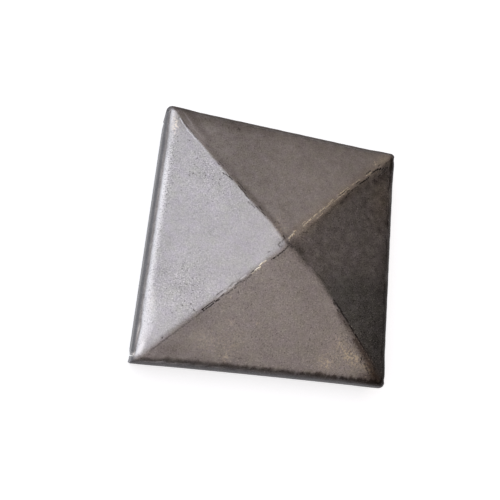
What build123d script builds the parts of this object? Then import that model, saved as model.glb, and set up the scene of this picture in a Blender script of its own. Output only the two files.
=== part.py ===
from build123d import *
from math import cos, radians, sin, tan
import os

# A pyramid cap for a square steel newel post, pressed from one flat blank, in millimetres.
# Four roof faces meet at shallow hips, and a skirt on each side is turned down over the post.
# The front and back skirts run the full width. The left and right ones stop short of them,
# so a narrow open slot stands at each corner and runs up into the bend.
# +Z is up. The origin is the middle of the open underside, level with the skirt's free edge.

# The post, and the room the cap has around it
post_size = 76.2
side_clearance = 0.6

# The sheet and its bends
sheet = 2.0
bend_inside_radius = 2.0
corner_radius = 1.6

# The form: the skirt is measured up to the eaves line, where its plane would meet the roof's
skirt_depth = 12.0
roof_angle = 13.3

# The slots at the corners, and the rounded corners of the blank beside them
slot_width = 0.3
slot_bend_angle = 28.0
blank_corner_radius = 1.5

# What follows from those
inside_half = post_size / 2 + side_clearance
outside_half = inside_half + sheet
bend_outside_radius = bend_inside_radius + sheet
roof_slope = tan(radians(roof_angle))
inside_eaves = skirt_depth + sheet * roof_slope - sheet / cos(radians(roof_angle))
bend_turn = 90 - roof_angle
bend_centre_x = outside_half - bend_outside_radius
bend_centre_z = skirt_depth - bend_outside_radius * tan(radians(bend_turn / 2))
cut_reach = bend_outside_radius
same_place = 0.001


def gable(plane, half_width, eaves, bend_radius, foot):
    """The end-on outline of skirts and roof: upright sides, two slopes, and the bends between."""
    with BuildSketch(plane) as outline:
        with BuildLine():
            Polyline(
                (-half_width, foot),
                (half_width, foot),
                (half_width, eaves),
                (0, eaves + half_width * roof_slope),
                (-half_width, eaves),
                close=True,
            )
        make_face()
        fillet(outline.vertices().group_by(Axis.Y)[1], bend_radius)
    return outline.sketch


def pyramid(half_width, eaves, bend_radius, foot):
    """Two gabled prisms, crossed: their common part has four skirts, four bends and four hips."""
    end_on = gable(Plane.XZ, half_width, eaves, bend_radius, foot)
    extrude(end_on, amount=half_width + cut_reach, both=True)
    side_on = gable(Plane.YZ, half_width, eaves, bend_radius, foot)
    extrude(side_on, amount=half_width + cut_reach, both=True, mode=Mode.INTERSECT)


def on_a_diagonal(edge):
    """True for the lines over the four corners: upright, round the bend and up the hip."""
    middle = edge.center()
    return abs(abs(middle.X) - abs(middle.Y)) < same_place


# The die's side of the sheet, which the post and the hollow under the roof see
with BuildPart() as hollow:
    pyramid(inside_half, inside_eaves, bend_inside_radius, -cut_reach)

# The cap itself: the outside form, with the corners and hips rounded, less the hollow
with BuildPart() as post_cap:
    pyramid(outside_half, skirt_depth, bend_outside_radius, 0)
    fillet(post_cap.edges().filter_by(on_a_diagonal), corner_radius)
    add(hollow.part, mode=Mode.SUBTRACT)

    # A slot's outline, seen along the left and right skirts. Its top is square to the sheet.
    rise = radians(slot_bend_angle)
    slot_reach = bend_outside_radius + cut_reach
    for first_y in (inside_half, slot_width - inside_half):
        with BuildSketch(Plane.XZ.offset(-first_y)):
            with BuildLine():
                Polyline(
                    (bend_centre_x, bend_centre_z),
                    (bend_centre_x + slot_reach * cos(rise), bend_centre_z + slot_reach * sin(rise)),
                    (bend_centre_x + slot_reach * cos(rise), -cut_reach),
                    (bend_centre_x, -cut_reach),
                    close=True,
                )
            make_face()
            mirror(about=Plane.YZ)
        extrude(amount=slot_width, mode=Mode.SUBTRACT)

    # The lower corners of the left and right skirts, as the blank was cut
    free_edges = post_cap.edges().filter_by(Axis.X).group_by(Axis.Z)[0]
    skirt_ends = free_edges.filter_by(lambda edge: edge.length < 2 * sheet)
    fillet(skirt_ends, blank_corner_radius)

post_cap.part.label = "post_cap"
os.makedirs("parts", exist_ok=True)
export_step(post_cap.part, "parts/post_cap.step")
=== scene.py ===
from math import cos, radians, sin

import bmesh
import bpy
import numpy as np
from mathutils import Matrix, Vector


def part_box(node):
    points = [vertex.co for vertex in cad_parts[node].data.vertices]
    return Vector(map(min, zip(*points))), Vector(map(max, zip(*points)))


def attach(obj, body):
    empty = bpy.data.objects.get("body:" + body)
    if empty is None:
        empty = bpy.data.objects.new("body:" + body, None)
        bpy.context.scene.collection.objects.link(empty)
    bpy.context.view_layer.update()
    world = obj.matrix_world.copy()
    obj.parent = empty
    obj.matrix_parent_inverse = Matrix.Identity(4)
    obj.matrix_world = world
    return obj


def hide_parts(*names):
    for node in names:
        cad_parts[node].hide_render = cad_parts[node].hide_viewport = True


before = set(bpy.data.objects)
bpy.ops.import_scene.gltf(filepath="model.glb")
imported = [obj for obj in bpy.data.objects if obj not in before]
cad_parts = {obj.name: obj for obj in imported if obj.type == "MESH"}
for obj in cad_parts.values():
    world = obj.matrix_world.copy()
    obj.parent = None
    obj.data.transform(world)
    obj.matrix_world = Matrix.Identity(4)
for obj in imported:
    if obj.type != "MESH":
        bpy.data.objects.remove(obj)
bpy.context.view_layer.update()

# A pressed steel pyramid cap for a square newel post, seen from above on a white floor.
# The cap is one sheet. Its outer and inner skins are worked out as two like grids of rows and
# columns, which are joined round the free edge and round the open slots at the corners.
# Rows run from the peak down the roof, round the bend and down the skirt.
# Columns run once round the cap, seen from above against the clock, from the front left corner.
# Sides and corners are counted the same way: front, right, back and left, and front right, back
# right, back left and front left.

MM = 0.001
SIDES = 4
FRONT, RIGHT, BACK, LEFT = range(SIDES)
FRONT_RIGHT, BACK_RIGHT, BACK_LEFT, FRONT_LEFT = range(SIDES)

# The cap's form, the same as the solid's
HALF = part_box("post_cap")[1].x
SHEET = 2.0 * MM
EAVES = 12.0 * MM
ROOF_ANGLE = radians(13.3)
BEND_RADIUS = 4.0 * MM
CORNER_RADIUS = 1.6 * MM
SLOT_NEAR = 38.35 * MM
SLOT_FAR = 38.62 * MM
SLOT_BEND_ANGLE = radians(28)
BLANK_CORNER = 1.5 * MM
PEAK = EAVES + HALF * np.tan(ROOF_ANGLE)
TURN = np.pi / 2 - ROOF_ANGLE

# How the press left it: the bends are tighter at the corners and not quite even along a side,
# the roof tips over a little before each bend, and the hips stand off the diagonals
CORNER_BEND_RADIUS = 3.2 * MM
PEAK_RADIUS = 3.0 * MM
EDGE_ROUND = 0.35 * MM
SKIRT_CORNER_RADIUS = (1.9 * MM, 1.5 * MM, 1.9 * MM, 0.5 * MM)
NOTCH_DEPTH = 0.3 * MM
NOTCH_WIDTH = 0.9 * MM
CORNER_ZONE = (29 * MM, 36.5 * MM)
BEND_WAVE = (0.10, 0.04, 0.04, 0.04)
BEND_WAVE_LENGTHS = (9.7 * MM, 6.4 * MM, 4.1 * MM)
SHOULDER_TILT = (radians(1.0), radians(2.5), radians(2.5), radians(5.0))
SHOULDER_WIDTH = (1.2 * MM, 3.0 * MM, 3.0 * MM, 2.4 * MM)
LEFT_SHOULDER_AT = 27 * MM
LEFT_SHOULDER_SPREAD = 7 * MM
LEFT_SHOULDER_TILT = radians(3.5)
LEFT_SHOULDER_EXTRA = 3.0 * MM
FRONT_BOW = 0.2 * MM
HIP_RADIUS_TOP = (7.0 * MM, 5.0 * MM, 3.0 * MM, 5.0 * MM)
HIP_RADIUS_LOW = (3.5 * MM, 3.0 * MM, 2.0 * MM, 5.0 * MM)
HIP_SHIFT_WIDTH = 8 * MM
# How far each hip stands off its diagonal against the clock, in millimetres, at distances from the
# peak: the peak itself is a little twisted
HIP_PLACES = (0, 3, 7, 11, 16, 24, 34, 44, 54)
HIP_SHIFT = (
    (-0.4, -0.4, -0.1, 0.6, 1.4, 1.4, 1.5, 1.3, 0.6),
    (0.0, -0.2, -0.4, -0.3, -0.2, 0.1, 0.1, -0.3, -0.3),
    (0.7, 0.8, 0.4, 0.5, 0.75, 0.75, 0.85, 0.65, 1.4),
    (0.6, 1.0, 0.7, 0.8, 0.7, 0.6, 0.3, 0.1, 0.0),
)
# Where the press's own marks on the roof fade out, before the bends and behind the peak
FADE_OUT = (32.5 * MM, 37.8 * MM)
FADE_BEHIND_PEAK = (-3 * MM, 0)
# The low waves of the faces
WAVE_HEIGHT = 0.035 * MM
WAVE_LENGTHS = (31 * MM, 19 * MM, 13 * MM)

# How finely the sheet is divided
ROOF_ROWS = 60
BEND_ROWS = 16
SKIRT_ROWS = 4
HEM_ROWS = 5
EDGE_ROWS = 3
SIDE_COLUMNS = 128
ARC_COLUMNS = 8
SLOT_ROW = ROOF_ROWS + BEND_ROWS // 2
# How much closer columns stand towards the corners, and where a skirt's rows close up to its foot
COLUMN_CROWDING = 0.12
HEM_STARTS = 0.8
# The least radius of a corner, and the largest share of the half-width that a rounding may take
LEAST_RADIUS = 0.02 * MM
LARGEST_ROUNDING = 0.9
# What is one point and what is no edge in the mesh, and how sharp an edge has to be to show
SAME_PLACE = 1e-7
NO_LENGTH = 1e-8
SHARP_ANGLE = radians(50)


def smooth_step(value, start, end):
    """0 before start and 1 after end, with an even S-shaped rise between them."""
    share = np.clip((value - start) / (end - start), 0, 1)
    return share * share * (3 - 2 * share)


def hump(value, middle, width):
    """A bell of height 1 about middle: e to the minus of the squared distance in widths."""
    return np.exp(-(((value - middle) / width) ** 2))


def wander(position, lengths, seed):
    """A smooth irregular line about 0: the mean of sines of the given lengths, seeded phases."""
    phases = np.random.default_rng(seed).uniform(0, 2 * np.pi, len(lengths))
    turns = position[..., None] / np.array(lengths)
    return np.sin(2 * np.pi * turns + phases).mean(axis=-1)


def stations():
    """Places of a side's columns along it, closer at the corners, with one at each slot edge."""
    share = np.linspace(-1, 1, SIDE_COLUMNS - 3)[1:-1]
    plain = SLOT_NEAR * (share + COLUMN_CROWDING * np.sin(np.pi * share))
    end = HALF - CORNER_RADIUS
    return np.concatenate([[-end, -SLOT_FAR, -SLOT_NEAR], plain, [SLOT_NEAR, SLOT_FAR, end]])


def bend_angles():
    """Angle of the outward line over the level at each bend row, from the roof's to nearly none."""
    upper = np.linspace(0, 1, BEND_ROWS // 2, endpoint=False)
    lower = np.linspace(SLOT_BEND_ANGLE, 0, BEND_ROWS // 2, endpoint=False)
    return upper, lower


def side_form(side, along):
    """Bend radius, shoulder tilt, shoulder width and inward bow at each place along a side.

    Each is the side's own value in its middle and the corners' common value at its ends. The bend
    radius wanders by the side's share of it. The left shoulder is widest near the front left.
    """
    middle = 1 - smooth_step(np.abs(along), *CORNER_ZONE)
    wave = BEND_WAVE[side] * wander(along, BEND_WAVE_LENGTHS, seed=side)
    radius = CORNER_BEND_RADIUS + (BEND_RADIUS * (1 + wave) - CORNER_BEND_RADIUS) * middle
    tilt = SHOULDER_TILT[side] * middle
    width = SHOULDER_WIDTH[side] + 0 * along
    if side == LEFT:
        wide = hump(along, LEFT_SHOULDER_AT, LEFT_SHOULDER_SPREAD)
        tilt = tilt + LEFT_SHOULDER_TILT * wide * middle
        width = width + LEFT_SHOULDER_EXTRA * wide
    bow = FRONT_BOW * (1 - (along / HALF) ** 2) * middle if side == FRONT else 0 * along
    return radius, tilt, width, bow


def section(side, along, inset):
    """Half-width and height of a skin at each row, for each column of a side.

    The outer skin has inset 0. Its roof is a straight fall of ROOF_ANGLE that curves down by the
    shoulder's tilt over the shoulder's width, its bend an arc that meets roof and skirt smoothly,
    and its skirt upright. The inner skin is the same line moved square to itself by inset. The peak
    is a ball of PEAK_RADIUS.
    """
    radius, tilt, width, bow = side_form(side, along)
    half = HALF - bow
    start = TURN - tilt
    centre_out = half - radius
    fall = np.tan(ROOF_ANGLE)
    roof_end = centre_out + radius * np.cos(start)
    curve = (np.tan(ROOF_ANGLE + tilt) - fall) / (2 * width)
    end_up = PEAK - roof_end * fall - curve * width**2
    centre_up = end_up - radius * np.sin(start)

    share = np.linspace(0, 1, ROOF_ROWS, endpoint=False)[:, None]
    out = share * roof_end
    bent = np.clip(out - (roof_end - width), 0, None)
    up = PEAK - out * fall - curve * bent**2
    slope = np.arctan(fall + 2 * curve * bent)
    ball = np.sqrt(np.clip(PEAK_RADIUS**2 - out**2, 0, None))
    tip = PEAK - PEAK_RADIUS / np.cos(ROOF_ANGLE) + ball
    on_tip = out < PEAK_RADIUS * np.sin(ROOF_ANGLE)
    roof_up = np.where(on_tip, tip, up)
    slope = np.where(on_tip, np.arcsin(np.clip(out / PEAK_RADIUS, 0, 1)), slope)
    roof_out = out - inset * np.sin(slope)
    roof_up = roof_up - inset * np.cos(slope)

    upper, lower = bend_angles()
    angle = np.concatenate([
        start + (SLOT_BEND_ANGLE - start) * upper[:, None],
        lower[:, None] + 0 * start,
    ])
    bend_out = centre_out + (radius - inset) * np.cos(angle)
    bend_up = centre_up + (radius - inset) * np.sin(angle)

    down = np.concatenate([
        np.linspace(0, HEM_STARTS, SKIRT_ROWS, endpoint=False),
        HEM_STARTS + (1 - HEM_STARTS) * np.sin(np.linspace(0, np.pi / 2, HEM_ROWS)),
    ])[:, None]
    skirt_up = centre_up + (EDGE_ROUND - centre_up) * down
    skirt_out = half - inset + 0 * skirt_up

    roll = np.linspace(0, np.pi / 2, EDGE_ROWS + 1)[1:, None]
    rolled = EDGE_ROUND if inset == 0 else 0
    edge_out = half - inset - rolled * (1 - np.cos(roll))
    edge_up = EDGE_ROUND * (1 - np.sin(roll)) + 0 * half

    return (
        np.concatenate([roof_out, bend_out, skirt_out, edge_out]),
        np.concatenate([roof_up, bend_up, skirt_up, edge_up]),
    )


def corner_share():
    """How far a corner's rounding of radius 1 starts from the mitre at each row, along the level.

    Two faces whose outward lines rise by t meet at a turn d with cos d = sin t squared, and the
    rounding starts tan(d / 2) times root(1 + sin t squared) from their mitre.
    """
    upper, lower = bend_angles()
    rise = np.concatenate([
        np.full(ROOF_ROWS, TURN),
        TURN + (SLOT_BEND_ANGLE - TURN) * upper,
        lower,
        np.zeros(SKIRT_ROWS + HEM_ROWS + EDGE_ROWS),
    ])
    squared = np.sin(rise) ** 2
    return np.tan(np.arccos(squared) / 2) * np.sqrt(1 + squared)


def corner_rounding(corner, inset, limit):
    """Level radius of a corner at each row: the hip's, changing down it, then the skirts'."""
    share = corner_share()
    row = np.arange(len(share))
    top, low = HIP_RADIUS_TOP[corner], HIP_RADIUS_LOW[corner]
    radius = top + (low - top) * np.clip(row / ROOF_ROWS, 0, 1)
    skirts = SKIRT_CORNER_RADIUS[corner]
    radius = radius + (skirts - radius) * smooth_step(row, ROOF_ROWS, SLOT_ROW)
    level = np.maximum(radius - inset, LEAST_RADIUS) * share
    return np.minimum(level, LARGEST_ROUNDING * limit + 1e-9)


def skin(inset):
    """Points of one skin, rows by columns by 3.

    At each row the cap's level outline is a square of the section's half-width, with its corners
    rounded. A side's columns are spread over its straight stretch, with one at each edge of the
    corner slots, and a corner's columns share its arc evenly by angle. The ends of the left and
    right skirts draw in round the blank's corners, and both lips of a slot dip in a little.
    """
    along = stations()
    end = along[-1]
    columns = []
    for side in range(SIDES):
        out, up = section(side, along, inset)
        before = corner_rounding((side - 1) % SIDES, inset, out[:, 0])
        after = corner_rounding(side, inset, out[:, -1])
        first, last = before - out[:, 0], out[:, -1] - after
        stretched = first[:, None] + (last - first)[:, None] * (along + end) / (2 * end)
        row = np.arange(len(out))[:, None]
        lower = row >= SLOT_ROW
        reach = np.where(lower, along, stretched)
        if side in (RIGHT, LEFT):
            notch = hump(np.abs(along), SLOT_NEAR, NOTCH_WIDTH)
            out = out - NOTCH_DEPTH * notch * smooth_step(row, SLOT_ROW - 4, SLOT_ROW)
            drawn = BLANK_CORNER - np.clip(up, 0, BLANK_CORNER)
            drawn = BLANK_CORNER - np.sqrt(BLANK_CORNER**2 - drawn**2)
            near_end = smooth_step(np.abs(along), SLOT_NEAR - 6 * MM, SLOT_NEAR)
            skirt = np.abs(along) <= SLOT_NEAR
            reach = reach - np.where(lower & skirt, np.sign(along) * drawn * near_end, 0)
        reach = np.clip(reach, first[:, None], last[:, None])
        reach[:, 0], reach[:, -1] = first, last

        angle = np.linspace(0, np.pi / 2, ARC_COLUMNS + 1)[1:-1]
        arc_out = last[:, None] + after[:, None] * np.cos(angle)
        arc_along = last[:, None] + after[:, None] * np.sin(angle)
        arc_up = np.repeat(up[:, -1:], len(angle), axis=1)
        out = np.concatenate([out, arc_out], axis=1)
        reach = np.concatenate([reach, arc_along], axis=1)
        up = np.concatenate([up, arc_up], axis=1)
        turn = side * np.pi / 2
        x = reach * np.cos(turn) + out * np.sin(turn)
        y = reach * np.sin(turn) - out * np.cos(turn)
        columns.append(np.stack([x, y, up], axis=2))
    return np.concatenate(columns, axis=1)


def diagonal(corner):
    """Heading of a corner's diagonal, against the clock from X: 45 degrees short of its count."""
    return corner * np.pi / 2 - np.pi / 4


def beside_hip(x, y, corner):
    """Distance out along a corner's diagonal, and distance across it, against the clock."""
    heading = diagonal(corner)
    along = x * np.cos(heading) + y * np.sin(heading)
    across = y * np.cos(heading) - x * np.sin(heading)
    return along, across


def within_bends(out):
    """1 on the roof at a half-width out, falling to 0 before the bends."""
    return 1 - smooth_step(out, *FADE_OUT)


def pressing(flat):
    """How far the press moved each point: the hips aside, and the faces up and down in low waves.

    A hip is carried square to its diagonal by its shift at that distance from the peak, which falls
    off to both sides as a bell and fades before the bends and behind the peak.
    """
    x, y = flat[..., 0], flat[..., 1]
    inside = within_bends(np.maximum(np.abs(x), np.abs(y)))
    move = np.zeros_like(flat)
    for corner in range(SIDES):
        along, across = beside_hip(x, y, corner)
        heading = diagonal(corner)
        shift = np.interp(along / MM, HIP_PLACES, HIP_SHIFT[corner]) * MM
        shift = shift * smooth_step(along, *FADE_BEHIND_PEAK) * hump(across, 0, HIP_SHIFT_WIDTH)
        shift = shift * inside
        move[..., 0] -= shift * np.sin(heading)
        move[..., 1] += shift * np.cos(heading)
    waves = wander(x, WAVE_LENGTHS, 11) + wander(y, WAVE_LENGTHS, 12)
    waves = waves + wander(x + y, WAVE_LENGTHS, 13)
    move[..., 2] = WAVE_HEIGHT * waves / 3 * inside
    return move


def kept_cells(rows, columns):
    """Which cells of the grid hold metal: all but the open slots at the ends of left and right."""
    kept = np.ones((rows - 1, columns), bool)
    per_side = columns // SIDES
    for side in (RIGHT, LEFT):
        kept[SLOT_ROW:, side * per_side + 1] = False
        kept[SLOT_ROW:, (side + 1) * per_side - ARC_COLUMNS - 2] = False
    return kept


def sheet_faces(kept):
    """Quads of a closed sheet: both skins on the kept cells, and a wall wherever one ends."""
    columns = kept.shape[1]
    row, column = np.nonzero(kept)
    after = (column + 1) % columns
    a, b = row * columns + column, row * columns + after
    c, d = (row + 1) * columns + after, (row + 1) * columns + column
    under = (kept.shape[0] + 1) * columns
    faces = [np.stack([a, d, c, b], 1), np.stack([a, b, c, d], 1) + under]
    open_below = ~np.vstack([kept[1:], np.zeros((1, columns), bool)])
    open_above = ~np.vstack([np.ones((1, columns), bool), kept[:-1]])
    open_right = ~np.roll(kept, -1, axis=1)
    open_left = ~np.roll(kept, 1, axis=1)
    edges = ((open_below, d, c), (open_right, c, b), (open_left, a, d), (open_above, b, a))
    for is_open, first, second in edges:
        at = is_open[row, column]
        p, q = first[at], second[at]
        faces.append(np.stack([p, p + under, q + under, q], 1))
    return np.concatenate(faces)


def by_side(values, columns):
    """A value for each column: the side's own along it, sliding to the next round a corner."""
    per_side = columns // SIDES
    line = []
    for side in range(SIDES):
        slide = np.linspace(0, 1, ARC_COLUMNS + 1)[1:-1]
        following = values[(side + 1) % SIDES]
        line.append(np.full(per_side - len(slide), float(values[side])))
        line.append(values[side] + (following - values[side]) * slide)
    return np.concatenate(line)


# The fields that the steel reads, which finish_fields explains
FIELDS = (
    "scale_and_shade", "brown", "hem", "rubbed_highlight", "straw", "cream", "tan", "worn", "grime", "bend_shade", "dull_and_shade",
    "rough", "rim",
)

# The finish by side: front, right, back and left. The dark scale, painted dark also as the shade of
# the bends and skirts, sets in and is full at a share of the bend's turn. The others are strengths.
SCALE_AND_SHADE_STARTS = (0.28, 0.06, 0.08, 0.26)
SCALE_AND_SHADE_FULL = (0.50, 0.28, 0.32, 0.58)
BROWN_BY_SIDE = (0.20, 1.0, 1.0, 0.0)
HEM_BY_SIDE = (1.0, 0.4, 0.6, 1.0)
# Painted shade along the foot of the front and right roof faces
BEND_SHADE_BY_SIDE = (0.70, 0.85, 0.0, 0.0)
TAN_BY_SIDE = (0.0, 0.0, 0.12, 0.0)
BEND_SHADE_PER_MM = (0.009, 0.0, 0.0, 0.0)
GRIT_BY_SIDE = (0.95, 1.10, 0.80, 0.64)

# Where parts of it set in and are full: up from the foot, out from the middle, along X or Y, or for
# the lower end of the painted shade along the foot of a roof face in shares of the bend's turn
HEM_ZONE = (0.5 * MM, 4 * MM)
BEND_SHADE_ZONE = (-38 * MM, -24 * MM)
BEND_SHADE_ENDS = (0.42, 0.54)
RUBBED_HIGHLIGHT_ZONE = (36.7 * MM, 38.5 * MM)
RUBBED_HIGHLIGHT_THINS = (18 * MM, 26 * MM)
GRIME_ZONE = (13 * MM, 24 * MM)
GRIME_FROM_MIDDLE = (1 * MM, 12 * MM)
GRIME_FROM_HIP = (0.9 * MM, 2.1 * MM)
SCALE_AND_SHADE_EDGE_WANDER = 0.03
SCALE_AND_SHADE_EDGE_LENGTHS = (11 * MM, 5.3 * MM, 2.9 * MM)

# Soft oval spots of the finish, in millimetres from the middle: strength, centre along X and Y,
# half-lengths, and the slant of the first of them in degrees
STRAW_SPOTS = (
    (1.1, (18.3, -34.5), (2.0, 1.8), 20),
    (1.1, (26.5, -31.8), (4.2, 1.8), -25),
    (0.7, (22.0, -27.5), (2.4, 1.0), -50),
    (0.9, (33.0, -34.6), (3.4, 1.3), -42),
    (0.20, (25.0, -32.5), (10, 5), -15),
    (0.5, (-13.6, -25.8), (1.2, 0.8), 0),
    (0.4, (-5.0, -25.5), (1.0, 0.7), 0),
    (0.5, (-13.2, -36.2), (0.9, 1.6), 0),
    (0.3, (-16, -32), (9, 4), 0),
    (0.4, (-2.4, 4.0), (2.2, 3.2), 20),
    (0.4, (33.5, 36.0), (3.5, 1.6), 40),
    (0.3, (38.0, -7.0), (1.2, 1.6), 0),
)
WORN_SPOTS = (
    (0.9, (21, -32), (10, 7), 0),
    (0.5, (19, -24), (5, 4), 0),
    (0.4, (24, -36), (5, 3), 0),
    (0.8, (19, 2), (10, 7), 0),
    (0.3, (0, -25), (26, 12), 0),
    (0.6, (12, 20), (10, 9), 0),
    (0.4, (-36, -26), (3, 7), 0),
    (0.4, (-31, 31.5), (7, 0.9), -45),
    (0.4, (27, 0), (6, 4), 0),
)
# Dull patches: handling marks, and painted shade on faces and edges turned from the light
DULL_AND_SHADE_SPOTS = (
    (0.12, (0, 38), (40, 5), 0),
    (0.45, (-35, 36), (4, 4), 0),
    (0.38, (-18, 37), (16, 2.5), 0),
    (0.12, (-14, 30), (13, 4), 0),
    (0.10, (-11, 24), (9, 4), 0),
    (0.90, (34, -37.8), (4, 1.1), 0),
    (0.40, (6, -3), (3, 3), 0),
    (0.24, (-14, 19), (13, 4), -45),
    (0.40, (-31, -36), (8, 3), 0),
    (0.35, (-25, -28), (9, 3), 45),
    (0.20, (27, 22), (9, 4), 45),
    (0.30, (29, -10), (5, 5), 0),
    (0.40, (33, -27), (6, 9), 15),
    (0.50, (37, -10), (3, 20), 0),
    (0.60, (36, -36), (4, 4), 0),
    (0.35, (-1.6, -0.8), (2.2, 2.0), 0),
)
CREAM_SPOTS = (
    (1.5, (-37.4, 33.4), (0.9, 2.6), 8),
    (0.35, (-36.8, -22.5), (0.8, 3), 0),
)
# A painted highlight: the streak round the front left corner's bend and its bright tip
HIGHLIGHT_STREAK_SPOTS = (
    (1, (-38.4, -36.3), (1.7, 0.45), 66),
    (1, (-39.8, -38.0), (0.45, 0.4), 0),
)
ROUGH_SPOTS = (
    (-0.15, (-22, -33), (10, 8), 0),
    (0.35, (27, -31), (10, 6), 0),
    (0.25, (31, -20), (8, 9), 0),
)
LEFT_ROUGH_SPOTS = (
    (0.50, (-25, 19), (11, 10), -45),
    (0.50, (-29, -18), (9, 11), 0),
)


def patch(x, y, centre, size, turn):
    """A soft oval spot: a bell over the distance from its centre, in half-lengths of its axes."""
    across, up = x - centre[0] * MM, y - centre[1] * MM
    one = across * cos(radians(turn)) + up * sin(radians(turn))
    other = up * cos(radians(turn)) - across * sin(radians(turn))
    return np.exp(-((one / (size[0] * MM)) ** 2) - (other / (size[1] * MM)) ** 2)


def patches(x, y, table):
    """The sum of a table's soft oval spots."""
    return sum(strength * patch(x, y, centre, size, turn) for strength, centre, size, turn in table)


def finish_fields(flat, points):
    """What the surface has where, from 0 to 1 unless said otherwise, at each point of a skin.

    scale_and_shade: dark mill scale, which the press left on the lower bends and the skirts,
    painted dark also as their shade where they turn from the light.
    brown: how brown and dark that scale is: brown scale, and on the right and back a painted shade
    where they turn from the light.
    hem: the foot of the skirts, which is painted darkest, a painted shade along the foot, most so
    on the front and the left.
    rubbed_highlight: the bright strip that the press rubbed on the left bend's shoulder, partly a
    painted highlight, with a painted highlight streak at the front left corner and a spot at the
    back left one. It may pass 1.
    straw: straw-coloured scale, worn thin.
    cream: the palest rubbed spots.
    tan: a thin warm film on the back face, along the back right hip and beside it on the right.
    worn: where handling has left a face a little lighter.
    grime: the black stain on the right face.
    bend_shade: how strong the painted shade along the foot of a roof face is on this side.
    dull_and_shade: where broad handling marks dull a face, and painted shade on faces and edges
    turned from the light.
    rough: how coarse the grit is, 1 being plain.
    rim: half-width here, in millimetres.
    """
    columns = flat.shape[1]
    upper, lower = bend_angles()
    turned = np.concatenate([
        np.zeros(ROOF_ROWS),
        (1 - SLOT_BEND_ANGLE / TURN) * upper,
        1 - lower / TURN,
        np.ones(SKIRT_ROWS + HEM_ROWS + EDGE_ROWS),
    ])[:, None]
    x, y, z = points[..., 0], points[..., 1], points[..., 2]
    out = np.maximum(np.abs(x), np.abs(y))
    ring = np.arctan2(y, x) * HALF
    uneven = SCALE_AND_SHADE_EDGE_WANDER * wander(ring, SCALE_AND_SHADE_EDGE_LENGTHS, seed=21)
    start = by_side(SCALE_AND_SHADE_STARTS, columns)
    end = by_side(SCALE_AND_SHADE_FULL, columns)
    scale_and_shade = smooth_step(turned + uneven, start, end)
    brown = by_side(BROWN_BY_SIDE, columns) + 0 * out
    hem = by_side(HEM_BY_SIDE, columns) * (1 - smooth_step(z, *HEM_ZONE))
    bend_shade = by_side(BEND_SHADE_BY_SIDE, columns) * (1 - smooth_step(turned, *BEND_SHADE_ENDS))
    bend_shade = bend_shade + by_side(BEND_SHADE_PER_MM, columns) * x / MM * (bend_shade > 0)
    bend_shade = bend_shade * (0.35 + 0.65 * smooth_step(x, *BEND_SHADE_ZONE))

    # The strip rubbed on the left shoulder, partly a painted highlight, starts farther in where
    # that shoulder is widest
    on_left = by_side((0, 0, 0, 1), columns)
    wide = 2.4 * MM * hump(y, -LEFT_SHOULDER_AT, LEFT_SHOULDER_SPREAD)
    streak = patches(x, y, HIGHLIGHT_STREAK_SPOTS)
    scale_and_shade = scale_and_shade * (1 - np.clip(1.2 * streak, 0, 1))
    rubbed_highlight = smooth_step(out, RUBBED_HIGHLIGHT_ZONE[0] - wide, RUBBED_HIGHLIGHT_ZONE[1])
    rubbed_highlight = on_left * rubbed_highlight * (1 - scale_and_shade)
    strongest = 0.25 * hump(y, 14 * MM, 8 * MM)
    rubbed_highlight = rubbed_highlight * (0.85 + strongest - 0.35 * smooth_step(y, *RUBBED_HIGHLIGHT_THINS))
    rubbed_highlight = rubbed_highlight + 1.2 * streak + 0.9 * patch(x, y, (-38.7, 36.3), (0.6, 2.2), 6)

    # The films and stains on the roof, and dull patches that are partly painted shade
    straw = patches(x, y, STRAW_SPOTS)
    cream = patches(x, y, CREAM_SPOTS)
    along, across = beside_hip(x, y, BACK_RIGHT)
    tan = by_side(TAN_BY_SIDE, columns) + 0.6 * patch(x, y, (35, 22), (5, 10), 0)
    tan = np.maximum(tan, 0.55 * hump(across, 0.3 * MM, 2.6 * MM) * smooth_step(along, 0, 5 * MM))
    worn = patches(x, y, WORN_SPOTS)
    dull_and_shade = patches(x, y, DULL_AND_SHADE_SPOTS)
    grime = smooth_step(x - 0.35 * y, *GRIME_ZONE) * smooth_step(-y, *GRIME_FROM_MIDDLE)
    grime = grime * smooth_step(beside_hip(x, y, FRONT_RIGHT)[1], *GRIME_FROM_HIP)

    # The grit, coarser again along the back half of the left shoulder
    shoulder = 0.50 * hump(out, 37.2 * MM, 1.2 * MM) * smooth_step(y, -20 * MM, 10 * MM)
    rough = by_side(GRIT_BY_SIDE, columns) + patches(x, y, ROUGH_SPOTS)
    rough = rough + on_left * (patches(x, y, LEFT_ROUGH_SPOTS) + shoulder)
    rim = out / MM
    values = (scale_and_shade, brown, hem, rubbed_highlight, straw, cream, tan, worn, grime, bend_shade, dull_and_shade, rough, rim)
    return dict(zip(FIELDS, values))


def build_mesh(name, points, faces, fields):
    """A mesh object from whole arrays, with its fields as attributes and its pole merged."""
    mesh = bpy.data.meshes.new(name)
    mesh.from_pydata(points, [], faces.tolist())
    for field, values in fields.items():
        kind, slot = ("FLOAT_VECTOR", "vector") if values.ndim == 2 else ("FLOAT", "value")
        mesh.attributes.new(field, kind, "POINT").data.foreach_set(slot, values.ravel())
    work = bmesh.new()
    work.from_mesh(mesh)
    bmesh.ops.remove_doubles(work, verts=work.verts, dist=SAME_PLACE)
    bmesh.ops.dissolve_degenerate(work, edges=work.edges, dist=NO_LENGTH)
    work.to_mesh(mesh)
    work.free()
    mesh.polygons.foreach_set("use_smooth", np.ones(len(mesh.polygons), bool))
    mesh.set_sharp_from_angle(angle=SHARP_ANGLE)
    piece = bpy.data.objects.new(name, mesh)
    bpy.context.scene.collection.objects.link(piece)
    return piece


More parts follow.
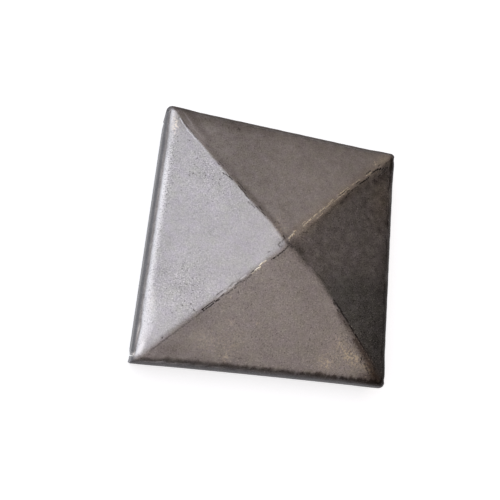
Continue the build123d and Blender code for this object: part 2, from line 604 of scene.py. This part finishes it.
def pressed_cap():
    """The whole cap as one closed sheet, with its finish fields on both skins."""
    outer, inner = skin(0.0), skin(SHEET)
    move = pressing(outer)
    rows, columns = outer.shape[:2]
    fields = {"flat": np.tile((outer / MM).reshape(-1, 3), (2, 1))}
    for field, values in finish_fields(outer, outer + move).items():
        fields[field] = np.tile((values + np.zeros((rows, columns))).ravel(), 2)
    fields["scale_and_shade"][rows * columns:] = 1
    points = np.concatenate([(outer + move).reshape(-1, 3), (inner + move).reshape(-1, 3)])
    return build_mesh("pressed_cap", points, sheet_faces(kept_cells(rows, columns)), fields)


cap = pressed_cap()
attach(cap, "root")
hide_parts("post_cap")


def linear(colour):
    """An sRGB hex colour such as #aba6a3 as linear red, green, blue and alpha."""
    parts = np.array([int(colour[place:place + 2], 16) for place in (1, 3, 5)]) / 255
    low, high = parts / 12.92, ((parts + 0.055) / 1.055) ** 2.4
    return (*np.where(parts <= 0.04045, low, high), 1)


def add(tree, kind, sockets, give=0, **settings):
    """Add a node: settings are its own, sockets the values or links of its inputs. One output."""
    node = tree.nodes.new("ShaderNode" + kind)
    for key, value in settings.items():
        setattr(node, key, value)
    for key, value in sockets.items():
        if isinstance(value, bpy.types.NodeSocket):
            tree.links.new(value, node.inputs[key])
        else:
            node.inputs[key].default_value = value
    return node.outputs[give]


# Marks beside each corner's hip, in millimetres: from and to along the diagonal from the peak, how
# far to the left of that looking outwards, half-width, strength. A worn flake is bright metal with
# a painted glint, a line is a dark crease, a band is a painted soft shade and a pale line is a
# rubbed edge.
FLAKES_AND_GLINTS = {
    BACK_RIGHT: (
        (0.6, 1.6, 0.50, 0.35, 0.9),
        (1.9, 3.0, 0.65, 0.50, 1.8),
        (3.5, 4.5, 0.90, 0.28, 0.9),
        (7.7, 11.2, 0.60, 0.32, 1.0),
        (11.0, 14.4, 0.75, 0.32, 1.2),
        (7.9, 9.5, 1.15, 0.24, 0.6),
        (13.4, 16.4, -0.35, 0.24, 0.7),
        (15.8, 18.4, 0.85, 0.38, 1.4),
        (18.5, 22.0, 0.60, 0.28, 1.0),
        (20.2, 23.0, 1.10, 0.28, 0.8),
        (22.8, 26.0, 0.45, 0.24, 0.8),
        (25.3, 30.6, 1.20, 0.30, 1.3),
        (25.6, 28.2, 0.40, 0.28, 1.0),
        (28.4, 31.0, 0.60, 0.24, 0.6),
        (32.2, 34.0, 1.05, 0.32, 0.7),
        (34.8, 36.6, 0.90, 0.32, 1.2),
        (40.0, 42.7, 0.35, 0.34, 1.2),
    ),
    FRONT_LEFT: (
        (8.9, 10.2, 0.70, 0.32, 0.8),
        (10.2, 11.4, 0.60, 0.36, 1.1),
        (11.4, 13.3, 1.20, 0.42, 1.6),
        (13.4, 14.6, 1.25, 0.28, 0.6),
    ),
}
LINES = {
    FRONT_RIGHT: (
        (0.4, 2.2, 0.30, 0.90, 0.6),
        (2.2, 4.4, 0.60, 0.60, 0.3),
        (4.4, 8.0, 1.00, 0.55, 0.15),
        (10.0, 18.0, 2.35, 0.35, 0.35),
        (23.6, 25.0, 1.75, 0.50, 1.2),
        (24.2, 24.8, 1.25, 0.34, 0.8),
        (25.0, 28.2, 1.90, 0.50, 1.4),
        (26.6, 27.3, 1.00, 0.38, 0.9),
        (28.0, 33.0, 1.78, 0.42, 1.2),
        (33.0, 38.0, 1.55, 0.42, 1.2),
        (38.0, 43.0, 1.35, 0.42, 1.1),
        (43.0, 50.0, 1.20, 0.45, 0.8),
        (31.0, 33.0, 0.80, 0.40, 0.7),
        (35.6, 36.4, 0.70, 0.30, 0.6),
        (30.5, 31.1, -0.30, 0.40, 0.5),
        (35.5, 38.0, -0.90, 0.30, 0.4),
        (43.9, 44.4, -1.05, 0.38, 1.0),
        (44.4, 45.1, -1.80, 0.34, 0.8),
        (46.0, 49.3, -1.25, 0.32, 0.8),
    ),
    BACK_RIGHT: (
        (5.3, 6.2, -1.00, 0.40, 0.6),
        (9.6, 10.5, -1.10, 0.40, 0.7),
        (6.8, 7.3, -1.60, 0.45, 0.5),
        (16.2, 18.0, 0.45, 0.24, 0.6),
        (18.4, 19.3, -1.50, 0.55, 0.7),
        (20.0, 20.9, -1.20, 0.55, 0.6),
        (24.6, 26.2, -1.70, 0.80, 0.6),
        (27.6, 28.2, -1.00, 0.55, 0.9),
        (26.2, 29.4, 0.80, 0.26, 0.8),
        (28.8, 31.0, -0.60, 0.45, 0.9),
        (31.0, 34.2, -0.40, 0.40, 0.8),
        (29.2, 30.6, 0.20, 0.30, 0.8),
        (34.5, 36.2, 0.40, 0.32, 0.9),
        (35.2, 40.2, -0.45, 0.40, 1.5),
        (40.6, 42.8, 0.90, 0.36, 1.0),
        (42.4, 45.0, -0.05, 0.40, 1.5),
        (45.0, 46.2, -0.30, 0.42, 1.6),
        (46.2, 47.2, -0.75, 0.45, 1.8),
        (47.2, 48.2, -1.35, 0.48, 1.8),
        (48.2, 50.2, -2.10, 0.55, 1.0),
        (44.0, 48.0, -2.45, 0.42, 1.0),
        (46.8, 47.8, 0.40, 0.38, 0.9),
        (50.0, 51.2, -0.60, 0.45, 0.8),
    ),
    BACK_LEFT: (
        (0.4, 1.0, 2.90, 0.42, 0.6),
        (0.7, 1.0, 1.30, 0.42, 0.6),
        (1.1, 1.9, 0.00, 0.42, 0.8),
        (5.7, 6.2, -1.60, 0.45, 0.5),
        (10.2, 12.0, 0.20, 0.38, 0.8),
        (12.0, 13.4, -0.30, 0.50, 0.6),
        (12.6, 14.2, 0.50, 0.30, 0.7),
        (13.9, 15.3, 1.25, 0.26, 0.6),
        (15.8, 16.6, 1.50, 0.32, 1.1),
        (17.4, 18.8, 0.70, 0.34, 0.9),
        (18.4, 22.3, 0.45, 0.36, 0.8),
        (20.0, 23.5, -0.25, 0.45, 0.6),
        (25.4, 26.5, 0.75, 0.36, 1.1),
        (26.4, 28.0, 1.10, 0.26, 0.8),
        (28.1, 28.6, 1.60, 0.34, 1.0),
        (31.5, 32.1, 0.70, 0.34, 1.0),
        (30.4, 32.0, -0.10, 0.35, 0.6),
        (38.4, 39.0, -0.60, 0.45, 0.7),
        (42.0, 44.2, 0.55, 0.34, 0.5),
        (44.2, 50.0, 0.45, 0.36, 0.5),
    ),
    FRONT_LEFT: (
        (0.8, 3.0, 1.75, 0.44, 0.8),
        (3.0, 7.2, 1.62, 0.46, 1.0),
        (5.2, 6.2, 1.55, 0.36, 1.0),
        (0.6, 1.3, -0.85, 0.42, 0.6),
        (2.2, 3.1, -0.75, 0.42, 0.6),
        (2.3, 2.8, 0.40, 0.45, 0.4),
        (6.3, 6.8, -0.85, 0.32, 0.5),
        (13.4, 14.6, 0.85, 0.35, 0.8),
        (15.0, 18.4, 1.40, 0.50, 0.45),
        (18.2, 19.2, 1.10, 0.38, 0.8),
        (19.6, 20.4, 0.95, 0.40, 0.9),
        (20.8, 24.2, 1.45, 0.45, 0.6),
        (24.8, 26.0, 1.00, 0.38, 0.8),
        (26.6, 28.0, 1.17, 0.40, 1.4),
        (28.6, 32.3, 1.20, 0.33, 1.4),
        (28.0, 32.4, 0.62, 0.26, 1.1),
        (31.9, 32.5, 0.60, 0.40, 1.5),
        (20.4, 22.0, 0.00, 0.28, 0.5),
        (24.6, 26.6, -0.20, 0.28, 0.6),
        (32.6, 44.0, 1.10, 0.42, 0.4),
        (44.0, 51.0, 0.88, 0.42, 0.4),
    ),
}
BANDS = {
    FRONT_RIGHT: (
        (0, 5, 1.6, 2.4, 0.35),
        (14, 28, 2.2, 1.3, 0.20),
        (28, 40, 0.9, 1.7, 0.60),
        (38, 53, 0.3, 2.2, 0.90),
    ),
    BACK_RIGHT: (
        (24, 34, -1.0, 1.6, 0.25),
        (42, 52, -3.2, 2.4, 0.50),
    ),
    BACK_LEFT: (
        (1, 26, -0.6, 1.7, 0.45),
        (26, 38, -0.8, 2.0, 0.30),
        (40, 52, -2.6, 1.8, 0.35),
    ),
    FRONT_LEFT: (
        (0.5, 7, 0.4, 1.6, 0.18),
        (7, 46, 0.4, 1.3, 0.25),
    ),
}
PALE_LINES = {
    BACK_LEFT: (
        (16.8, 18.4, 1.05, 0.26, 0.35),
        (18.4, 22.6, 0.90, 0.24, 0.25),
        (36.5, 42.5, 1.05, 0.28, 0.25),
        (42.5, 46.4, 1.15, 0.28, 0.45),
        (46.4, 48.4, 1.00, 0.28, 0.50),
        (48.4, 50.8, 0.75, 0.28, 0.70),
        (42.5, 46.0, -0.90, 0.35, 0.20),
        (47.0, 52.0, -1.30, 0.35, 0.25),
    ),
    FRONT_LEFT: (
        (16.2, 18.2, 0.50, 0.42, 0.60),
        (19.8, 22.6, 0.65, 0.36, 0.60),
        (23.6, 26.8, 0.50, 0.36, 0.50),
    ),
}

# Nicks and blots, in millimetres from the middle: along X, along Y, half-width, strength
NICKS = (
    (-30.0, 18.2, 0.5, 0.7),
    (-31.0, 17.3, 0.4, 0.6),
    (-32.0, 29.1, 0.45, 0.6),
    (-33.0, 12.0, 0.4, 0.5),
    (-25.0, -23.6, 0.40, 0.9),
    (-26.0, -21.9, 0.45, 0.6),
    (-28.4, -22.6, 0.35, 0.7),
    (-30.9, -25.1, 0.35, 0.6),
    (-32.7, -32.6, 0.45, 0.8),
    (17.9, 10.3, 0.5, 0.7),
    (26.5, 10.8, 0.4, 0.6),
    (24.1, -8.0, 0.5, 0.8),
    (17.4, -6.0, 0.4, 0.6),
    (12.8, -7.8, 0.4, 0.5),
    (33.4, -9.0, 0.45, 0.6),
    (32.6, -15.7, 0.5, 0.8),
    (36.6, -6.8, 0.9, 0.7),
    (37.0, 31.0, 0.5, 0.8),
    (37.1, 29.0, 0.5, 0.8),
    (36.9, 27.2, 0.5, 0.7),
    (-17.0, 36.4, 0.8, 0.6),
    (-22.6, 36.6, 0.5, 0.5),
    (-8.6, 35.5, 0.5, 0.5),
    (30.5, -31.9, 0.5, 0.9),
    (30.4, -33.0, 0.4, 0.7),
)

# Glints, where the scale is gone and the metal is bare, painted bright into the colour as glints,
# in the same terms
GLINTS = (
    (2.0, 2.9, 0.60, 1.6),
    (2.5, 3.2, 0.45, 1.2),
    (1.3, 1.8, 0.45, 0.9),
    (1.0, 1.1, 0.35, 0.6),
    (31.7, 34.1, 0.55, 0.7),
    (31.3, 35.0, 0.55, 0.6),
    (32.8, -37.6, 0.35, 0.5),
    (-15.1, -18.4, 0.55, 0.30),
    (-17.0, -23.0, 0.50, 0.25),
    (-16.4, -22.6, 0.45, 0.25),
)

# Farther than any place on the cap, in millimetres
FAR_OFF = 1000

# How much of the thick scale's shine is not a metal's, the specular level of the rest, which
# the hem lacks, and how high a relief of 1 stands
SCALE_DULL = 0.88
SPECULAR = 0.10
RELIEF = 0.008 * MM

# The streaks that break up the flakes run along the diagonal of the back right hip, and those of
# the creases along the other one: their slant to it in degrees, and for both their number in a
# millimetre along and across it
STREAK_SLANT = {BACK_RIGHT: -8, BACK_LEFT: 0}
STREAK_SCALE = (0.6, 3.6, 1)


def unpressed(corner, along, offset):
    """Where a place beside a hip, given in its frame in millimetres, was before the pressing.

    The hip's own shift set it aside, and near the peak its neighbours' shifts moved it along.
    """
    aside = np.interp(along, HIP_PLACES, HIP_SHIFT[corner])
    aside = aside * within_bends(along * MM * cos(np.pi / 4))
    onward = HIP_SHIFT[corner - 1][0] - HIP_SHIFT[(corner + 1) % SIDES][0]
    return along - onward * hump(along * MM, 0, HIP_SHIFT_WIDTH), offset - aside


def hip_marks(tree, frames, marks, after=0.0):
    """All straight marks of a kind joined in one value, each read in its own hip's frame.

    A mark runs along its frame's X. A place held between the mark's two ends becomes the nearest
    point of the mark, and its strength fades with the distance from that. The frames are as before
    the pressing, so each mark is first set back. Cycles can hold only 255 values at a time, so a
    corner's marks wait for the value so far, which rides along as the frame's Z and changes no
    distance.
    """
    total = 0.0
    for corner, own_marks in marks.items():
        place = frames[corner]
        if isinstance(after, bpy.types.NodeSocket):
            sockets = {0: after, 1: (0, 0, 1), 2: place}
            place = add(tree, "VectorMath", sockets, operation="MULTIPLY_ADD")
        for start, end, offset, half_width, strength in own_marks:
            offset = unpressed(corner, (start + end) / 2, offset)[1]
            start, end = (unpressed(corner, along, 0)[0] for along in (start, end))
            sockets = {0: place, 1: (end, offset, FAR_OFF)}
            nearest = add(tree, "VectorMath", sockets, operation="MINIMUM")
            sockets = {0: nearest, 1: (start, offset, -FAR_OFF)}
            nearest = add(tree, "VectorMath", sockets, operation="MAXIMUM")
            sockets = {0: place, 1: nearest}
            far = add(tree, "VectorMath", sockets, give="Value", operation="DISTANCE")
            sockets = {"Value": far, "From Min": half_width, "From Max": 0, "To Max": strength}
            mask = add(tree, "MapRange", sockets, interpolation_type="SMOOTHSTEP")
            total = add(tree, "Math", {0: total, 1: mask}, operation="MAXIMUM")
            after = total
    return total


def spot_marks(tree, place, marks, total):
    """The strongest of total and of all round marks of a kind, fading to 0 at their half-width."""
    for across, up, half_width, strength in marks:
        sockets = {0: place, 1: (across, up, 0)}
        far = add(tree, "VectorMath", sockets, give="Value", operation="DISTANCE")
        sockets = {"Value": far, "From Min": half_width, "From Max": 0, "To Max": strength}
        mask = add(tree, "MapRange", sockets, interpolation_type="SMOOTHSTEP")
        total = add(tree, "Math", {0: total, 1: mask}, operation="MAXIMUM")
    return total


def pressed_steel():
    """Hot-rolled mild steel sheet, cold pressed and only oiled.

    The rolled skin is a thin grey scale, finely pitted and cloudy, that gives a broad soft sheen.
    The die rubbed it bright along bends and hips, left straw-coloured films where it is thin, and
    left it dark on the skirts.
    """
    steel = bpy.data.materials.new("hot_rolled_steel_pressed")
    steel.use_nodes = True
    tree = steel.node_tree
    shader = tree.nodes["Principled BSDF"]
    here = add(tree, "TexCoord", {}, give="Object")
    flat = add(tree, "Attribute", {}, give="Vector", attribute_name="flat")
    fields = {name: add(tree, "Attribute", {}, give="Fac", attribute_name=name) for name in FIELDS}

    # Grit of the rolled skin, drawn about twice as coarse as the real 0.2 mm so that it shows.
    # Its swing about the middle grows with the cube, so that a few grains stand out.
    grit = add(tree, "TexNoise", {"Vector": here, "Scale": 1 / (0.38 * MM), "Detail": 2})
    swing = add(tree, "Math", {0: grit, 1: 0.5}, operation="SUBTRACT")
    swing = add(tree, "Math", {0: swing, 1: fields["rough"]}, operation="MULTIPLY")
    tail = add(tree, "Math", {0: swing, 1: swing}, operation="MULTIPLY")
    tail = add(tree, "Math", {0: tail, 1: 14.0, 2: 0.85}, operation="MULTIPLY_ADD")
    grain = add(tree, "Math", {0: swing, 1: tail}, operation="MULTIPLY")
    mottle = add(tree, "TexNoise", {"Vector": here, "Scale": 1 / (2.0 * MM), "Detail": 4})
    clouds = add(tree, "TexNoise", {"Vector": here, "Scale": 1 / (10 * MM), "Detail": 3})
    sockets = {"Vector": here, "Scale": 1 / (3.4 * MM), "Detail": 5, "Roughness": 0.7}
    film = add(tree, "TexNoise", sockets)
    fleck = add(tree, "TexNoise", {"Vector": here, "Scale": 1 / (0.75 * MM), "Detail": 3})

    # Each hip's own frame: out along it, across it, in millimetres, with ragged edges
    sockets = {"Vector": here, "Scale": 1 / (1.1 * MM), "Detail": 3}
    ragged = add(tree, "TexNoise", sockets, give="Color")
    ragged = add(tree, "VectorMath", {0: ragged, 1: (0.5, 0.5, 0.5)}, operation="SUBTRACT")
    sockets = {0: ragged, 1: (0.7, 0.7, 0), 2: flat}
    ragged = add(tree, "VectorMath", sockets, operation="MULTIPLY_ADD")
    spots = add(tree, "VectorMath", {0: ragged, 1: (1, 1, 0)}, operation="MULTIPLY")
    frames, streaks = [], {}
    for corner in range(SIDES):
        turn = (0, 0, -diagonal(corner))
        sockets = {"Vector": ragged, "Rotation": turn, "Scale": (1, 1, 0)}
        frames.append(add(tree, "Mapping", sockets))
        if corner in STREAK_SLANT:
            slant = (0, 0, radians(STREAK_SLANT[corner]))
            sockets = {"Vector": frames[corner], "Rotation": slant, "Scale": STREAK_SCALE}
            streak = add(tree, "Mapping", sockets)
            sockets = {"Vector": streak, "Scale": 1.0, "Detail": 2}
            streaks[corner] = add(tree, "TexNoise", sockets)
    sockets = {"Value": streaks[BACK_RIGHT], "From Min": 0.34, "From Max": 0.48}
    broken = add(tree, "MapRange", sockets)
    sockets = {"Value": streaks[BACK_LEFT], "From Min": 0.34, "From Max": 0.50}
    torn = add(tree, "MapRange", sockets)

    # The plain scale: a grey that clouds and mottle lighten and darken, and grit speckles, under a
    # film that wanders from mauve to olive
    tone = add(tree, "Math", {0: mottle, 1: 0.45, 2: 0.60}, operation="MULTIPLY_ADD")
    tone = add(tree, "Math", {0: grain, 1: 1.5, 2: tone}, operation="MULTIPLY_ADD")
    tone = add(tree, "Math", {0: clouds, 1: 0.35, 2: tone}, operation="MULTIPLY_ADD")
    tone = add(tree, "Math", {0: fields["worn"], 1: 0.18, 2: tone}, operation="MULTIPLY_ADD")
    hue = add(tree, "Math", {0: film, 1: 0.5}, operation="SUBTRACT")
    hue = add(tree, "Math", {0: hue, 1: 3.0, 2: 0.5}, operation="MULTIPLY_ADD")
    sockets = {"Fac": hue, "Color1": linear("#aba5a7"), "Color2": linear("#aba8a2")}
    colour = add(tree, "MixRGB", sockets)
    sockets = {"Fac": 1.0, "Color1": colour, "Color2": tone}
    colour = add(tree, "MixRGB", sockets, blend_type="MULTIPLY")
    sockets = {"Fac": fields["tan"], "Color1": colour, "Color2": linear("#fff3dd")}
    colour = add(tree, "MixRGB", sockets, blend_type="MULTIPLY")

    # Rubbed places, with the painted highlight on the left bend, and straw-coloured places, broken
    # up by grit and flecks
    sockets = {"Value": fleck, "From Min": 0.48, "From Max": 0.60, "To Min": 0.12}
    patchy = add(tree, "MapRange", sockets)
    amount = add(tree, "Math", {0: grain, 1: 2.6, 2: 0.9}, operation="MULTIPLY_ADD")
    amount = add(tree, "Math", {0: fields["rubbed_highlight"], 1: amount}, operation="MULTIPLY")
    colour = add(tree, "MixRGB", {"Fac": amount, "Color1": colour, "Color2": linear("#e6e1dd")})
    amount = add(tree, "Math", {0: fields["cream"], 1: patchy}, operation="MULTIPLY")
    colour = add(tree, "MixRGB", {"Fac": amount, "Color1": colour, "Color2": linear("#ede2d2")})
    amount = add(tree, "Math", {0: fields["straw"], 1: patchy}, operation="MULTIPLY")
    colour = add(tree, "MixRGB", {"Fac": amount, "Color1": colour, "Color2": linear("#ece2cc")})

    # The stain, and the dark scale on bends and skirts, painted dark also as their shade
    # Dull patches darken the colour: handling marks, and painted shade
    sockets = {"Fac": fields["dull_and_shade"], "Color1": colour, "Color2": linear("#aea8a6")}
    colour = add(tree, "MixRGB", sockets, blend_type="MULTIPLY")
    sockets = {"Fac": fields["grime"], "Color1": colour, "Color2": linear("#cacdca")}
    colour = add(tree, "MixRGB", sockets, blend_type="MULTIPLY")
    # The scale's colour: brown, and darker on the right and back as painted shade
    sockets = {"Fac": fields["brown"], "Color1": linear("#7b7b7d"), "Color2": linear("#3c2e23")}
    dark = add(tree, "MixRGB", sockets)
    # The foot of the skirts painted darker still: painted shade along the foot
    sockets = {"Fac": fields["hem"], "Color1": dark, "Color2": linear("#8c8c8c")}
    dark = add(tree, "MixRGB", sockets, blend_type="MULTIPLY")
    sockets = {"Fac": 1.0, "Color1": dark, "Color2": tone}
    dark = add(tree, "MixRGB", sockets, blend_type="MULTIPLY")
    colour = add(tree, "MixRGB", {"Fac": fields["scale_and_shade"], "Color1": colour, "Color2": dark})

    # Painted shade along the foot of a roof face, with an edge of short slanting strokes
    sockets = {"Vector": here, "Rotation": (0, 0, radians(35)), "Scale": (1.0, 0.3, 1.0)}
    stroke = add(tree, "Mapping", sockets)
    stroke = add(tree, "TexNoise", {"Vector": stroke, "Scale": 1 / (1.6 * MM), "Detail": 2})
    edge = add(tree, "Math", {0: stroke, 1: 4.2, 2: fields["rim"]}, operation="MULTIPLY_ADD")
    edge = add(tree, "MapRange", {"Value": edge, "From Min": 39.8, "From Max": 40.6})
    edge = add(tree, "Math", {0: edge, 1: fields["bend_shade"]}, operation="MULTIPLY")
    sockets = {"Fac": edge, "Color1": colour, "Color2": linear("#968e8c")}
    colour = add(tree, "MixRGB", sockets, blend_type="MULTIPLY")

    # The hips: painted soft shades first, then creases, rubbed edges, and worn flakes with painted
    # glints
    shade = hip_marks(tree, frames, BANDS)
    sockets = {"Fac": shade, "Color1": colour, "Color2": linear("#8f857d")}
    colour = add(tree, "MixRGB", sockets, blend_type="MULTIPLY")
    crease = hip_marks(tree, frames, LINES, after=shade)
    crease = add(tree, "Math", {0: crease, 1: torn}, operation="MULTIPLY")
    crease = spot_marks(tree, spots, NICKS, crease)
    colour = add(tree, "MixRGB", {"Fac": crease, "Color1": colour, "Color2": linear("#302a27")})
    pale = hip_marks(tree, frames, PALE_LINES, after=crease)
    colour = add(tree, "MixRGB", {"Fac": pale, "Color1": colour, "Color2": linear("#e2e0e0")})
    # Worn flakes and glints painted near white: bare metal with a painted glint
    flake_glint = hip_marks(tree, frames, FLAKES_AND_GLINTS, after=pale)
    flake_glint = add(tree, "Math", {0: flake_glint, 1: broken}, operation="MULTIPLY")
    flake_glint = spot_marks(tree, spots, GLINTS, flake_glint)
    colour = add(tree, "MixRGB", {"Fac": flake_glint, "Color1": colour, "Color2": linear("#fff3da")})

    # Pits and bright grains: the two ends of the grit's swing, with more pits beside the hips
    pit = add(tree, "Math", {0: shade, 1: 0.10, 2: -0.17}, operation="MULTIPLY_ADD")
    pit = add(tree, "Math", {0: pit, 1: swing}, operation="SUBTRACT")
    sockets = {"Value": pit, "From Min": 0.0, "From Max": 0.10, "To Max": 0.6}
    pit = add(tree, "MapRange", sockets)
    colour = add(tree, "MixRGB", {"Fac": pit, "Color1": colour, "Color2": linear("#4c4644")})
    sockets = {"Value": swing, "From Min": 0.19, "From Max": 0.29, "To Max": 0.4}
    spark = add(tree, "MapRange", sockets)
    colour = add(tree, "MixRGB", {"Fac": spark, "Color1": colour, "Color2": linear("#e6e0d8")})
    tree.links.new(colour, shader.inputs["Base Color"])

    # Sheen: broad on the scale, tighter where it is rubbed
    sockets = {"Value": mottle, "From Min": 0.3, "From Max": 0.7, "To Min": 0.33, "To Max": 0.43}
    gloss = add(tree, "MapRange", sockets)
    gloss = add(tree, "Math", {0: fields["rubbed_highlight"], 1: -0.06, 2: gloss}, operation="MULTIPLY_ADD")
    gloss = add(tree, "Math", {0: fields["grime"], 1: 0.10, 2: gloss}, operation="MULTIPLY_ADD")
    gloss = add(tree, "Math", {0: crease, 1: 0.15, 2: gloss}, operation="MULTIPLY_ADD")
    gloss = add(tree, "Math", {0: flake_glint, 1: -0.06, 2: gloss}, operation="MULTIPLY_ADD")
    tree.links.new(gloss, shader.inputs["Roughness"])
    sockets = {0: fields["scale_and_shade"], 1: -SCALE_DULL, 2: 1.0}
    metal = add(tree, "Math", sockets, operation="MULTIPLY_ADD")
    tree.links.new(metal, shader.inputs["Metallic"])
    sockets = {0: fields["hem"], 1: -SPECULAR, 2: SPECULAR}
    specular = add(tree, "Math", sockets, operation="MULTIPLY_ADD")
    tree.links.new(specular, shader.inputs["Specular IOR Level"])

    # Relief: the mottle and the grit, creases and pits sunk in, and flakes that stand up
    height = add(tree, "Math", {0: mottle, 1: 2.0, 2: grit}, operation="MULTIPLY_ADD")
    height = add(tree, "Math", {0: crease, 1: -4.0, 2: height}, operation="MULTIPLY_ADD")
    height = add(tree, "Math", {0: flake_glint, 1: 6.0, 2: height}, operation="MULTIPLY_ADD")
    height = add(tree, "Math", {0: pit, 1: -1.0, 2: height}, operation="MULTIPLY_ADD")
    sockets = {"Height": height, "Strength": 1.0, "Distance": RELIEF}
    tree.links.new(add(tree, "Bump", sockets), shader.inputs["Normal"])
    return steel


cap.data.materials.append(pressed_steel())


# How bright the paper is by its own light, and how wide the sweep of it is, in metres
PAPER_LIFT = 0.62
FLOOR_WIDTH = 12


def white_paper():
    """The sweep of matt white paper: its own light makes it plain white to the eye and in metal."""
    paper = bpy.data.materials.new("matt_white_paper")
    paper.use_nodes = True
    tree = paper.node_tree
    shader = tree.nodes["Principled BSDF"]
    shader.inputs["Base Color"].default_value = linear("#ededed")
    shader.inputs["Roughness"].default_value = 0.9
    shader.inputs["Emission Color"].default_value = (1, 1, 1, 1)
    seen = add(tree, "LightPath", {}, give="Is Camera Ray")
    for ray in ("Is Glossy Ray", "Is Transmission Ray"):
        other = add(tree, "LightPath", {}, give=ray)
        seen = add(tree, "Math", {0: seen, 1: other}, operation="MAXIMUM")
    lift = add(tree, "Math", {0: seen, 1: PAPER_LIFT}, operation="MULTIPLY")
    tree.links.new(lift, shader.inputs["Emission Strength"])
    return paper


bpy.ops.mesh.primitive_plane_add(size=FLOOR_WIDTH, location=(0, 0, 0))
floor = bpy.context.object
floor.name = "floor"
floor.data.materials.append(white_paper())


# The room's light, as factors: a heading, how far along it the factor starts and stops to change,
# and its values there
ROOM = (
    ((0, 0, 1), 0.12, 1.0, 0.06, 0.67),
    ((1, 0, 0), 0.48, 0.73, 1.0, 0.10),
    ((0, -1, 0), 0.45, 0.72, 1.0, 0.45),
)
# How far to the right the room's light starts and stops to turn warmer
ROOM_TINT = (0.35, 0.70)


def studio_world():
    """A dim warm room under a pale ceiling, with darker walls on the right and in front.

    Its light is the product of the factors in ROOM, each of which changes evenly along its heading.
    """
    world = bpy.data.worlds.new("studio")
    world.use_nodes = True
    tree = world.node_tree
    way = add(tree, "TexCoord", {}, give="Generated")
    level = 1.0
    for heading, start, end, low, high in ROOM:
        share = add(tree, "VectorMath", {0: way, 1: heading}, give="Value", operation="DOT_PRODUCT")
        share = add(tree, "MapRange", {
            "Value": share, "From Min": start, "From Max": end, "To Min": low, "To Max": high,
        })
        level = add(tree, "Math", {0: level, 1: share}, operation="MULTIPLY")
    background = tree.nodes["Background"]
    share = add(tree, "VectorMath", {0: way, 1: (1, 0, 0)}, give="Value", operation="DOT_PRODUCT")
    sockets = {"Value": share, "From Min": ROOM_TINT[0], "From Max": ROOM_TINT[1]}
    share = add(tree, "MapRange", sockets)
    sockets = {"Fac": share, "Color1": linear("#fff0e9"), "Color2": linear("#ffebe1")}
    tree.links.new(add(tree, "MixRGB", sockets), background.inputs["Color"])
    tree.links.new(level, background.inputs["Strength"])
    return world


def softbox(name, centre, size, power, colour):
    """An oblong area light that faces the cap."""
    lamp = bpy.data.lights.new(name, "AREA")
    lamp.shape = "RECTANGLE"
    lamp.size, lamp.size_y = size
    lamp.energy = power
    lamp.color = linear(colour)[:3]
    holder = bpy.data.objects.new(name, lamp)
    holder.location = centre
    holder.rotation_euler = Vector(centre).to_track_quat("Z", "Y").to_euler()
    bpy.context.scene.collection.objects.link(holder)


# The window, in metres and watts: it stands to the left, a little behind and high up
WINDOW_CENTRE = (-0.50, 0.18, 0.74)
WINDOW_SIZE = (1.33, 1.17)
WINDOW_POWER = 4.80

bpy.context.scene.world = studio_world()
softbox("window", WINDOW_CENTRE, WINDOW_SIZE, WINDOW_POWER, "#deecff")

# The camera, from the left and in front, high up and turned about its own axis
TARGET = Vector((-9.007, -2.556, 12.0)) * MM
DISTANCE = 165.96 * MM
AZIMUTH = radians(-47.903)
ELEVATION = radians(71.169)
ROLL = radians(55.408)
LENS = 38.12
SENSOR = 36

back = Vector((sin(AZIMUTH) * cos(ELEVATION), -cos(AZIMUTH) * cos(ELEVATION), sin(ELEVATION)))
level = Vector((0, 0, 1)).cross(back).normalized()
rise = back.cross(level)
across = level * cos(ROLL) + rise * sin(ROLL)
upward = rise * cos(ROLL) - level * sin(ROLL)
camera = bpy.data.objects.new("camera", bpy.data.cameras.new("camera"))
camera.data.lens = LENS
camera.data.sensor_width = SENSOR
facing = Matrix((across, upward, back)).transposed().to_4x4()
camera.matrix_world = Matrix.Translation(TARGET + back * DISTANCE) @ facing
bpy.context.scene.collection.objects.link(camera)
bpy.context.scene.camera = camera
bpy.context.scene.view_settings.view_transform = "Standard"
